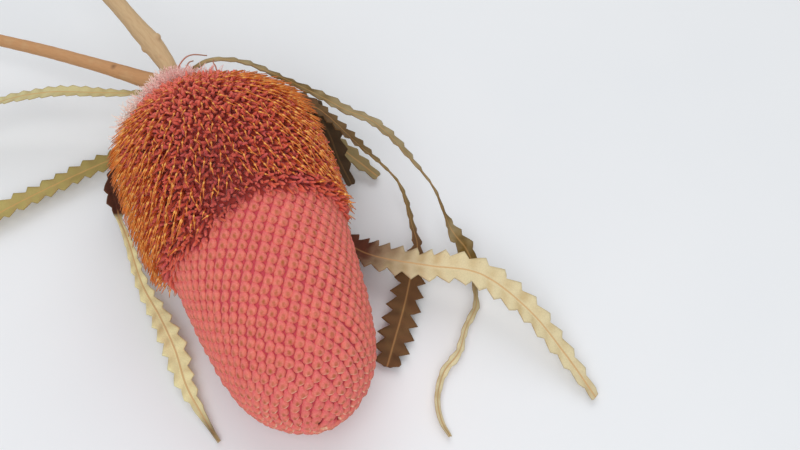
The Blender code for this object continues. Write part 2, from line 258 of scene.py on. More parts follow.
class Outline:
    """A turned outline of the spike."""

    def __init__(self, rows):
        self.stations, self.radii = smooth_rows(rows, 12).T
        self.slopes = np.gradient(self.radii, self.stations)
        steps = np.hypot(np.diff(self.stations), np.diff(self.radii))
        rings = math.pi * (self.radii[1:] + self.radii[:-1])
        self.areas = np.concatenate([[0], np.cumsum(rings * steps)])

    def florets(self, area):
        """Station and angle of each floret, one for each such area."""
        index = np.arange(int(self.areas[-1] / area) + 1)
        return np.interp((index + 0.5) * area, self.areas, self.stations), index * TURN * 2 * math.pi

    def at(self, stations, angles, depth=0.0):
        """Points under the surface by a depth, and the ways across, to the tip and out from each."""
        radii = np.interp(stations, self.stations, self.radii)[:, None]
        slopes = np.interp(stations, self.stations, self.slopes)[:, None]
        rings = np.outer(np.cos(angles), ACROSS) + np.outer(np.sin(angles), ABOVE)
        to_tip = (ALONG + rings * slopes) / np.hypot(1, slopes)
        out = (rings - ALONG * slopes) / np.hypot(1, slopes)
        points = SPIKE_FOOT + np.outer(stations, ALONG) + crook(stations) + rings * radii - out * depth
        return points, np.cross(to_tip, out), to_tip, out


def edit_ring(places, resize, move):
    """Resizes about the axis and moves the corners of the edited mesh that are at these places."""
    mesh = bmesh.from_edit_mesh(bpy.context.edit_object.data)
    mesh.verts.ensure_lookup_table()
    for vert in mesh.verts:
        vert.select_set(vert.index in places)
    bmesh.update_edit_mesh(bpy.context.edit_object.data)
    bpy.ops.transform.resize(value=resize, center_override=(0, 0, 0))
    bpy.ops.transform.translate(value=move)


def turned_body(name, outline, first, last, depth, sides, sunk):
    """A smooth closed body under the outline, drawn out ring by ring and pressed flat below. Stemward
    of the zone's edge its radius is this share, so that it makes room for the open florets."""
    stations = np.arange(first, last, RING_STEP)
    slopes = np.interp(stations, outline.stations, outline.slopes)
    radii = np.interp(stations, outline.stations, outline.radii) - depth / np.hypot(1, slopes)
    stations = stations + depth * slopes / np.hypot(1, slopes)
    stations, radii = stations[radii > POLE_RADIUS], radii[radii > POLE_RADIUS]
    bpy.ops.mesh.primitive_circle_add(vertices=sides, radius=1, fill_type="NGON")
    piece = bpy.context.object
    piece.name = name
    bpy.ops.object.mode_set(mode="EDIT")
    bpy.ops.mesh.select_all(action="SELECT")
    bpy.ops.transform.resize(value=(radii[0], radii[0], 1))
    bpy.ops.transform.translate(value=(0, 0, stations[0]))
    for station, rise, share in zip(stations[1:], np.diff(stations), radii[1:] / radii[:-1]):
        bpy.ops.mesh.extrude_region_move(TRANSFORM_OT_translate={"value": (0, 0, rise)})
        bpy.ops.transform.resize(value=(share, share, 1), center_override=(0, 0, station))
    bpy.ops.mesh.select_all(action="SELECT")
    bpy.ops.mesh.normals_make_consistent(inside=False)
    bpy.ops.object.mode_set(mode="OBJECT")
    places = np.array([vert.co for vert in piece.data.vertices])
    stemward = places[:, 2] < zone_edge(np.arctan2(places[:, 1], places[:, 0]))
    places[:, :2] *= np.where(stemward, sunk, 1)[:, None]
    places = SPIKE_FOOT + places @ np.array((ACROSS, ABOVE, ALONG)) + crook(places[:, 2])
    return moved(piece, places)


def moved(piece, places):
    """The piece with its corners at these places, none of them under the surface it lies on."""
    places[:, 2] = np.maximum(places[:, 2], 0)
    piece.data.vertices.foreach_set("co", places.astype(np.float32).ravel())
    piece.data.update()
    piece.data.shade_smooth()
    return piece


def copies(name, template, places):
    """A piece with a copy of the template's faces for each set of its corners' places."""
    corners = len(template.data.vertices)
    faces = [tuple(face.vertices) for face in template.data.polygons]
    starts = range(0, len(places) * corners, corners)
    mesh = bpy.data.meshes.new(name)
    all_faces = [[start + corner for corner in face] for start in starts for face in faces]
    mesh.from_pydata(places.reshape(-1, 3).tolist(), [], all_faces)
    piece = bpy.data.objects.new(name, mesh)
    bpy.context.scene.collection.objects.link(piece)
    bpy.data.objects.remove(template)
    return moved(piece, places.reshape(-1, 3).copy())


def mark(piece, **marks):
    """Writes numbers on the piece's corners, for its finish to read."""
    for name, values in marks.items():
        attribute = piece.data.attributes.new(name, "FLOAT", "POINT")
        attribute.data.foreach_set("value", np.asarray(values, np.float32).ravel())


bpy.ops.mesh.primitive_uv_sphere_add(
    segments=BUD_SIDES, ring_count=len(BUD_RINGS) - 1, radius=1, rotation=(math.pi / 2, 0, 0)
)
bud = bpy.context.object
bpy.ops.object.transform_apply(location=False, rotation=True, scale=False)
levels = np.array([vert.co.y for vert in bud.data.vertices])
bpy.ops.object.mode_set(mode="EDIT")
for row, (place, half_width, middle, half_height) in enumerate(BUD_RINGS):
    level = -math.cos(math.pi * row / (len(BUD_RINGS) - 1))
    girth = max(math.sqrt(1 - level * level), 1e-3)
    ring = set(np.flatnonzero(np.abs(levels - level) < 1e-3).tolist())
    edit_ring(ring, (half_width / girth, 1, half_height / girth), (0, place - level, middle))
bpy.ops.object.mode_set(mode="OBJECT")
bud_corners = np.array([vert.co for vert in bud.data.vertices]) / 1000

chance = np.random.default_rng(7)
bud_outline = Outline(BUD_OUTLINE)
bud_stations, bud_angles = bud_outline.florets(BUD_AREA)
shut = bud_stations > zone_edge(bud_angles) + chance.uniform(-0.0003, 0.0006, len(bud_stations))
count = np.count_nonzero(shut)
bud_stations = bud_stations[shut] + chance.normal(0, 0.00012, count)
bud_angles = bud_angles[shut] + chance.normal(0, 0.005, count)
points, across, to_tip, out = bud_outline.at(bud_stations, bud_angles, BUD_DEPTH)
sizes = chance.uniform(0.93, 1.07, (count, 1))
heights = chance.uniform(0.85, 1.2, (count, 1))
lean = (BUD_LEAN * np.sin(bud_angles - math.radians(75)) + chance.normal(0, 0.08, count))[:, None]
axes = np.stack([across * sizes, (to_tip + across * lean) * sizes, out * heights], axis=1)
buds = copies("buds", bud, points[:, None] + np.einsum("vi,nij->nvj", bud_corners, axes))
mark(
    buds,
    bud_along=np.tile(bud_corners[:, 1] * 1000, count),
    bud_across=np.tile(bud_corners[:, 0] * 1000, count),
    bud_rise=np.tile(bud_corners[:, 2] * 1000, count),
    bud_shade=np.repeat(chance.uniform(0, 1, count), len(bud_corners)),
    spike_tip=np.repeat(bud_stations / SPIKE_LENGTH, len(bud_corners)),
)
velvet = Finish(
    "closed_buds", roughness=0.85, Specular_IOR_Level=0.25,
    Sheen_Weight=0.2, Sheen_Roughness=0.5, Sheen_Tint=rgb(255, 190, 180),
)
bud_along = velvet.mark("bud_along")
bud_across = velvet.mark("bud_across")
bud_shade = velvet.mark("bud_shade")
blush = velvet.mix(bud_along.between(-1.6, 0.8), rgb(226, 100, 108), rgb(230, 124, 106))
blush = velvet.mix(bud_shade.between(0.0, 1.0) * 0.4, blush, rgb(214, 102, 98))
blush = velvet.mix(velvet.noise(1900, 3).between(0.46, 0.66) * 0.35, blush, rgb(248, 156, 140))
from_spot = ((bud_along - 0.80) / 1.0) ** 2.0 + (bud_across / 0.74) ** 2.0
spot = (1 - from_spot.between(0.0, 1.0)) * (0.55 + 0.45 * bud_shade) * velvet.noise(1400, 2).between(0.2, 0.5)
blush = velvet.mix(spot, blush, rgb(166, 92, 46))
# Deeper magenta down each bud's flanks towards the seams: partly the buds' own colour, partly painted shade
# between the buds
seam_colour_and_shade = 1 - velvet.mark("bud_rise").between(-0.40, 0.34)
blush = velvet.mix(seam_colour_and_shade * 0.65, blush, rgb(182, 54, 74))
rim = bud_along.between(1.15, 1.6) * velvet.mark("spike_tip").between(0.84, 0.95)
blush = velvet.mix(rim * velvet.noise(900, 2).between(0.3, 0.55), blush, rgb(246, 208, 172))
velvet.paint(buds, blush, velvet.noise(2200, 3), depth=0.0003, strength=0.8)

bud_bed = turned_body("bud_bed", bud_outline, first=0.0606, last=0.1299, depth=0.0009, sides=144, sunk=0.92)
dark_velvet = Finish("bud_bed", roughness=0.95)
dark_velvet.paint(bud_bed, dark_velvet.mix(dark_velvet.noise(700), rgb(182, 60, 76), rgb(204, 80, 90)))
for piece in (buds, bud_bed):
    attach(piece, "root")
    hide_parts("closed_buds")

# The half towards the stem has opened. Each floret's tube has split into blunt limbs that lean to the
# tip and curl, crowded over a dark bed.
FLORET_OUTLINE = [
    (-0.001, 0.0015), (0.000, 0.0030), (0.003, 0.0064), (0.007, 0.0128), (0.012, 0.0200),
    (0.018, 0.0259), (0.025, 0.0293), (0.032, 0.0309), (0.040, 0.0318), (0.050, 0.0318),
    (0.060, 0.0310), (0.070, 0.0298), (0.074, 0.0292),
]
FLORET_AREA = 9.0e-6
FLORET_MARGIN = 0.0005
LIMBS = 4
LIMB_SIDES = 4
LIMB_DEPTH = 0.0040
LIMB_LENGTHS = (0.0042, 0.0054)
# How much a limb leans to the tip and away from its floret, and how far it curls, in radians
LIMB_LEANS = (0.5, 0.9)
LIMB_AWAY = 0.28
LIMB_CURL = 0.9
# The dusky florets at the top of the head: angle in degrees and station, each with its reach
DUSKY_ANGLE, DUSKY_STATION = (102, 13), (0.053, 0.012)
# Half width and half thickness along a limb, in mm
LIMB_GIRTHS = [(0.40, 0.34), (0.52, 0.44), (0.62, 0.52), (0.58, 0.48), (0.30, 0.26)]


def around(values, middle, reach, height):
    """1 round the middle value and an even fall to 0 on each side of it."""
    return np.clip(height - np.abs(values - middle) / reach, 0, 1)


def unit(ways):
    return ways / np.linalg.norm(ways, axis=-1, keepdims=True)


def rods(name, sides, paths, widths, depths, flat):
    """Closed rods along paths, copies of one drawn-out ring. flat is the way of each rod's width."""
    rings = paths.shape[1]
    bpy.ops.mesh.primitive_circle_add(vertices=sides, radius=1, fill_type="NGON")
    bpy.ops.object.mode_set(mode="EDIT")
    for _ in range(rings - 1):
        bpy.ops.mesh.extrude_region_move(TRANSFORM_OT_translate={"value": (0, 0, 1)})
    bpy.ops.mesh.select_all(action="SELECT")
    bpy.ops.mesh.normals_make_consistent(inside=False)
    bpy.ops.object.mode_set(mode="OBJECT")
    template = bpy.context.object
    x, y, z = np.array([vert.co for vert in template.data.vertices]).T
    ring = np.rint(z).astype(int)
    paths[..., 2] = np.maximum(paths[..., 2], widths)
    ways = unit(np.gradient(paths, axis=1))
    flat = unit(flat[:, None] - ways * np.sum(flat[:, None] * ways, axis=2, keepdims=True))
    thick = np.cross(ways, flat)
    places = paths[:, ring]
    places = places + flat[:, ring] * (widths[:, ring] * x)[..., None]
    places = places + thick[:, ring] * (depths[:, ring] * y)[..., None]
    piece = copies(name, template, places)
    mark(piece, along=np.tile(ring / (rings - 1), len(paths)))
    return piece


floret_outline = Outline(FLORET_OUTLINE)
floret_stations, floret_angles = floret_outline.florets(FLORET_AREA)
opened = floret_stations < zone_edge(floret_angles) - FLORET_MARGIN
opened &= floret_stations > 0.0006
floret_stations, floret_angles = floret_stations[opened], floret_angles[opened]
count = len(floret_stations)
roots, across, to_tip, out = floret_outline.at(floret_stations, floret_angles, LIMB_DEPTH)
each = np.repeat(np.arange(count), LIMBS)
turn = chance.uniform(0, 2 * math.pi, count)[each] + np.tile(np.arange(LIMBS) * 2 * math.pi / LIMBS, count)
away = across[each] * np.cos(turn)[:, None] + to_tip[each] * np.sin(turn)[:, None]
rise = unit(out[each] + to_tip[each] * chance.uniform(*LIMB_LEANS, (count * LIMBS, 1)) + away * LIMB_AWAY)
bend = np.linspace(0, 1, len(LIMB_GIRTHS)) ** 1.6 * chance.uniform(0.0, LIMB_CURL, (count * LIMBS, 1))
length = chance.uniform(*LIMB_LENGTHS, (count * LIMBS, 1)) / (len(LIMB_GIRTHS) - 1)
steps = np.cos(bend)[..., None] * rise[:, None] + np.sin(bend)[..., None] * away[:, None]
paths = roots[each][:, None] + away[:, None] * 0.0005 + np.cumsum(steps * length[..., None], axis=1)
girth = chance.uniform(0.75, 1.15, (count * LIMBS, 1)) / 1000
widths, depths = (girth * np.array(row) for row in zip(*LIMB_GIRTHS))
limbs = rods("floret_limbs", LIMB_SIDES, paths, widths, depths, np.cross(rise, away))
dusky = around(np.degrees(floret_angles) % 360, *DUSKY_ANGLE, 1.6)
dusky = dusky * around(floret_stations, *DUSKY_STATION, 1.5)
mark(
    limbs,
    dusky=np.repeat(dusky[each], LIMB_SIDES * len(LIMB_GIRTHS)),
    limb_shade=np.repeat(chance.uniform(0, 1, count * LIMBS), LIMB_SIDES * len(LIMB_GIRTHS)),
    from_foot=np.repeat(floret_stations[each], LIMB_SIDES * len(LIMB_GIRTHS)),
)
petal = Finish("floret_limbs", roughness=0.75, Specular_IOR_Level=0.25, Sheen_Weight=0.15)
limb_shade = petal.mark("limb_shade")
red = petal.ramp(
    petal.mark("along"),
    [(0.0, rgb(152, 50, 42)), (0.35, rgb(182, 66, 52)), (0.65, rgb(214, 88, 70)), (1.0, rgb(226, 106, 86))],
)
red = petal.mix(limb_shade.between(0.5, 1.0) * 0.5, red, rgb(206, 98, 56))
red = petal.mix(limb_shade.between(0.35, 0.0) * 0.45, red, rgb(198, 92, 108))
# Paler towards the spike's foot: painted light, for the brighter light that falls on the foot
red = petal.mix((1 - petal.mark("from_foot").between(0.010, 0.036)) * 0.8, red, rgb(240, 128, 110))
red = petal.mix(petal.mark("dusky") * 0.4, red, rgb(140, 44, 60))
petal.paint(limbs, red, petal.noise(1500, 2), depth=0.0002, strength=0.4)

floret_bed = turned_body(
    "floret_bed", floret_outline, first=0.0003, last=0.0715, depth=0.0021, sides=96, sunk=1.0
)
dark_bed = Finish("floret_bed", roughness=0.95)
dark_bed.paint(floret_bed, dark_bed.mix(dark_bed.noise(600), rgb(150, 48, 44), rgb(184, 70, 58)))

# From each open floret comes a wiry orange style. It rises, bends over towards the tip and has a pale
# swelling at the bend, before its thin end.
STYLE_REACH = [
    (0.000, 0.0045), (0.004, 0.0095), (0.009, 0.0180), (0.015, 0.0264), (0.024, 0.0338),
    (0.034, 0.0363), (0.045, 0.0373), (0.053, 0.0370), (0.062, 0.0360), (0.070, 0.0345),
    (0.076, 0.0332),
]
STYLE_SIDES = 5
# How far a style's end is to the tip of its root, and how deep the root is
STYLE_SWEEP = 0.0082
STYLE_DEPTH = 0.0018
# How far the ends spread to the sides near the foot, and are pressed in on the right side
STYLE_SPREAD = 0.0014
STYLE_PRESS = 0.0038
# Nearer to the zone's edge than this, only this share of the florets has put out its style
STYLE_SPARSE = 0.0070
SPARSE_SHARE = 0.45
# The styles start at this station, and this much further on under the wool
BARE_FOOT, BARE_WOOL = 0.0022, 0.009
# Along each style: share of its length, and its half width in mm
STYLE_GIRTHS = [
    (0.00, 0.22), (0.22, 0.20), (0.44, 0.19), (0.56, 0.18), (0.61, 0.30), (0.66, 0.32), (0.71, 0.18),
    (0.84, 0.15), (1.00, 0.11),
]
to_edge = zone_edge(floret_angles) - floret_stations
styled = (to_edge > STYLE_SPARSE) | (chance.uniform(0, 1, count) < SPARSE_SHARE)
woolly = np.clip(np.cos(floret_angles - math.radians(170)) * 2 - 0.6, 0, 1)
styled &= floret_stations > BARE_FOOT + woolly * BARE_WOOL
# Two styles for each floret on the spike's sides, where they stand thickest
doubled = styled & (np.abs(np.cos(floret_angles)) > 0.55) & (to_edge > STYLE_SPARSE)
picked = np.concatenate([np.flatnonzero(styled), np.flatnonzero(doubled)])
to_edge = to_edge[picked]
count = len(to_edge)
reach = Outline(STYLE_REACH)
stations = floret_stations[picked] + chance.normal(0, 0.0004, count)
angles = floret_angles[picked] + chance.normal(0, 0.015, count)
roots, across, to_tip, out = floret_outline.at(stations, angles, STYLE_DEPTH)
sweep = np.minimum(STYLE_SWEEP + chance.normal(0, 0.0006, count), to_edge * 0.6 + 0.0022)
tips = reach.at(stations + sweep, angles + chance.normal(0, 0.012, count))[0]
spread = (np.cos(angles) * 0.8 - 0.24) * around(stations, 0.016, 0.012, 1.4)
pressed = np.clip(np.cos(angles), 0, 1) * around(stations, 0.042, 0.018, 1.5)
tips = tips + np.outer(spread * STYLE_SPREAD - pressed * STYLE_PRESS, ACROSS)
tips = roots + (tips - roots) * chance.uniform(0.86, 1.04, (count, 1))
span = tips - roots
lift = out * np.sum(span * out, axis=1, keepdims=True)
knees = roots + lift * 0.66 + (span - lift) * 0.38 + across * chance.normal(0, 0.0003, (count, 1))
shares = np.array([share for share, _ in STYLE_GIRTHS])[None, :, None]
paths = (1 - shares) ** 2 * roots[:, None] + 2 * shares * (1 - shares) * knees[:, None]
paths = paths + shares**2 * tips[:, None]
kink = np.where(shares > 0.6, (shares - 0.6) * 0.0022, 0) * chance.normal(0, 1, (count, 1, 1))
paths = paths + kink * across[:, None]
girths = np.array([girth for _, girth in STYLE_GIRTHS])[None, :] / 1000
girths = girths * chance.uniform(0.85, 1.15, (count, 1))
styles = rods("styles", STYLE_SIDES, paths, girths, girths, across)
mark(styles, style_shade=np.repeat(chance.uniform(0, 1, count), STYLE_SIDES * len(STYLE_GIRTHS)))
wire = Finish("styles", roughness=0.45)
amber = wire.ramp(
    wire.mark("along"),
    [
        (0.0, rgb(156, 58, 36)), (0.2, rgb(208, 100, 44)), (0.42, rgb(238, 138, 58)),
        (0.58, rgb(255, 200, 112)), (0.72, rgb(246, 166, 74)), (0.9, rgb(228, 130, 50)),
        (1.0, rgb(160, 96, 50)),
    ],
)
amber = wire.mix(wire.mark("style_shade").between(0.4, 1.0) * 0.4, amber, rgb(216, 110, 40))
wire.paint(styles, amber, wire.noise(3000, 2), depth=0.0001, strength=0.3)
for piece in (limbs, floret_bed, styles):
    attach(piece, "root")
    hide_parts("open_florets")

# The woody stem enters the spike's foot, and a thinner branch leaves it there. Both are dry wood with
# thin bark, cracked along its length.
STEM_SIDES = 20
STEM_VOXEL = 0.00042
RIDGE_HEIGHT = 0.000035
# Middle and radius, from the spike's foot outwards
STEM_ROUTE = [
    (-0.0066, 0.0862, 0.0366, 0.0036), (-0.0074, 0.0905, 0.0371, 0.0033), (-0.0072, 0.0955, 0.0380, 0.0031),
    (-0.0082, 0.1002, 0.0390, 0.0034), (-0.0098, 0.1055, 0.0408, 0.0037), (-0.0118, 0.1104, 0.0422, 0.0035),
    (-0.0139, 0.1165, 0.0434, 0.0032), (-0.0165, 0.1250, 0.0441, 0.0032), (-0.0190, 0.1335, 0.0445, 0.0034),
    (-0.0218, 0.1445, 0.0447, 0.0036), (-0.0265, 0.1640, 0.0450, 0.0039),
]
BRANCH_ROUTE = [
    (-0.0085, 0.0895, 0.0360, 0.0026), (-0.0131, 0.0943, 0.0342, 0.0029), (-0.0160, 0.0972, 0.0332, 0.0030),
    (-0.0226, 0.1047, 0.0318, 0.0027), (-0.0317, 0.1139, 0.0306, 0.0024), (-0.0453, 0.1269, 0.0290, 0.0023),
    (-0.0594, 0.1395, 0.0274, 0.0022), (-0.0700, 0.1480, 0.0268, 0.0022), (-0.0820, 0.1560, 0.0262, 0.0023),
]
KNOBS = [
    ((-0.0078, 0.1050, 0.0432), 0.0017), ((-0.0124, 0.1042, 0.0403), 0.0014),
    ((-0.0086, 0.0985, 0.0410), 0.0013),
]
# Dark places on the bark: a painted shadow in the fork, and a scar on the branch
SHADOW_AND_SCAR = [((-0.0113, 0.0925, 0.0370), 0.0022), ((-0.0245, 0.1062, 0.0340), 0.0014)]


def lengths_along(points):
    return np.concatenate([[0], np.cumsum(np.linalg.norm(np.diff(points, axis=0), axis=1))])


wood = []
routes = [smooth_rows(STEM_ROUTE, 8), smooth_rows(BRANCH_ROUTE, 8)]
for route in routes:
    girth = route[None, :, 3] * 0.97
    wood.append(rods("stem", STEM_SIDES, route[None, :, :3], girth, girth, np.array([[0.0, 0.0, 1.0]])))
for place, size in KNOBS:
    bpy.ops.mesh.primitive_uv_sphere_add(segments=16, ring_count=10, radius=size, location=place)
    bpy.ops.object.transform_apply()
    wood.append(bpy.context.object)
bpy.ops.object.select_all(action="DESELECT")
for piece in wood:
    piece.select_set(True)
stem = bpy.context.view_layer.objects.active = wood[0]
bpy.ops.object.join()
stem.name = "stem_wood"
remesh = stem.modifiers.new("one_body", "REMESH")
remesh.mode = "VOXEL"
remesh.voxel_size = STEM_VOXEL
bpy.ops.object.modifier_apply(modifier=remesh.name)
smooth = stem.modifiers.new("even", "SMOOTH")
smooth.iterations = 4
bpy.ops.object.modifier_apply(modifier=smooth.name)
places = np.array([vert.co for vert in stem.data.vertices])
routed = np.vstack(routes)
nearest = np.array([np.argmin(np.sum((routed[:, :3] - place) ** 2, axis=1)) for place in places])
along = np.concatenate([lengths_along(route[:, :3]) for route in routes])[nearest]
ways = unit(np.vstack([np.gradient(route[:, :3], axis=0) for route in routes]))[nearest]
arm = places - routed[nearest, :3]
along = along + np.sum(arm * ways, axis=1)
side = unit(np.cross(ways, (0, 0, 1)))
angle = np.arctan2(np.sum(arm * np.cross(side, ways), axis=1), np.sum(arm * side, axis=1))
ridges = np.sin(angle * 9 + np.sin(along * 900) * 1.5 + along * 160) + 0.7 * np.sin(angle * 17 - along * 260)
normals = np.array([vert.normal for vert in stem.data.vertices])
moved(stem, places + normals * (ridges * RIDGE_HEIGHT)[:, None])
scar = np.max([1 - np.linalg.norm(places - place, axis=1) / size for place, size in SHADOW_AND_SCAR], axis=0)
branch = (nearest >= len(routes[0])).astype(float)
mark(stem, along=along, round=angle, ridge=ridges, branch=branch, scar=scar)
bark = Finish("stem_wood", roughness=0.85)
streak_place = bark.node(
    "CombineXYZ", {}, {0: bark.mark("along") * 60, 1: bark.mark("round") * 2.2, 2: bark.mark("branch") * 5}
)
streaks = bark.noise(4.0, 5, streak_place)
tan = bark.mix(bark.mark("branch"), rgb(200, 170, 130), rgb(196, 147, 102))
tan = bark.mix(streaks.between(0.45, 0.75) * 0.35, tan, rgb(178, 132, 88))
tan = bark.mix(bark.noise(260, 4).between(0.5, 0.8) * 0.4, tan, rgb(202, 176, 134))
tan = bark.mix(bark.mark("ridge").between(0.2, -1.4) * 0.15, tan, rgb(160, 118, 78))
# Darker at the painted shadow in the fork between stem and branch, and at the branch's scar
tan = bark.mix(bark.mark("scar").between(0.0, 0.8) * 0.65, tan, rgb(104, 70, 46))
bark.paint(stem, tan, streaks, depth=0.0004, strength=0.4)
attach(stem, "root")
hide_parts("stem")

# Eight leathery leaves leave the stem under the spike's foot. Each is a long saw-toothed blade with a
# raised midrib, dried and twisted, dark in places and bleached to cream towards its end. The dark of the
# front left leaf's upturned underside and of the near right leaf's root beside the spike is painted shade.
LEAF_THICKNESS = 0.00038
LEAF_COLUMNS = 12
LEAF_KEEL = 0.12
LEAF_RAKE = 0.16
TOOTH_POINT = 0.70
TOOTH_ROWS = [0.0, 0.17, 0.35, 0.53, 0.70, 0.78, 0.86, 0.94]
